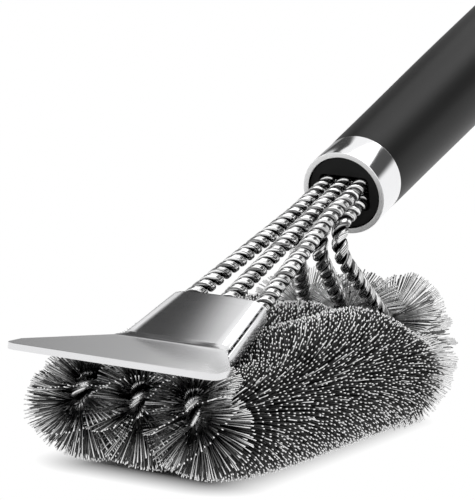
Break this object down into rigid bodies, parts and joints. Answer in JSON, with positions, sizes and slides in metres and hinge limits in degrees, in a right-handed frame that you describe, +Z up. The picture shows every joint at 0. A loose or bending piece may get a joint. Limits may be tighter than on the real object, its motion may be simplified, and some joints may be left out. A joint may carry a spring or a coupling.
{
  "type": "grill cleaning brush",
  "caption": "Long-handled grill brush: side-by-side twisted-wire brushes with stainless bristles, a folded sheet scraper ahead of them, a round tubular handle and a hanging ring.",
  "frame": {"origin": "on the surface the bristles stand on, under the middle of the brush's length and width", "axes": "+Z up, +X across the brush to its right as seen from the handle, +Y from the scraper to the handle's end"},
  "size_m": [0.0838, 0.449, 0.1918],
  "materials": {
    "wire_steel": "bright drawn wire",
    "bristle_steel": "bright flat stainless wire",
    "sheet_steel": "bright cold-rolled sheet",
    "polished_steel": "polished",
    "grip_plastic": "satin charcoal",
    "plug_plastic": "matte black"
  },
  "bodies": {
    "brush": {"handle_grip": "grip_plastic", "end_cap": "grip_plastic", "stem_plug": "plug_plastic", "crimp_collar": "wire_steel", "ferrule": "polished_steel", "stem_left_wire_pair_a": "wire_steel", "stem_left_wire_pair_b": "wire_steel", "stem_middle_wire_pair_a": "wire_steel", "stem_middle_wire_pair_b": "wire_steel", "stem_right_wire_pair_a": "wire_steel", "stem_right_wire_pair_b": "wire_steel", "bristles_left": "bristle_steel", "bristles_middle": "bristle_steel", "bristles_right": "bristle_steel", "scraper_blade": "sheet_steel", "scraper_back_shell": "sheet_steel", "scraper_stud_left": "polished_steel", "scraper_stud_right": "polished_steel"},
    "ring": {"hanging_ring": "polished_steel"}
  },
  "joints": [
    {"name": "ring_swing", "type": "hinge", "parent": "brush", "child": "ring", "pos_m": [0, 0.2185, 0.1818], "axis": [1, 0, 0], "range_deg": [-20, 240]}
  ]
}
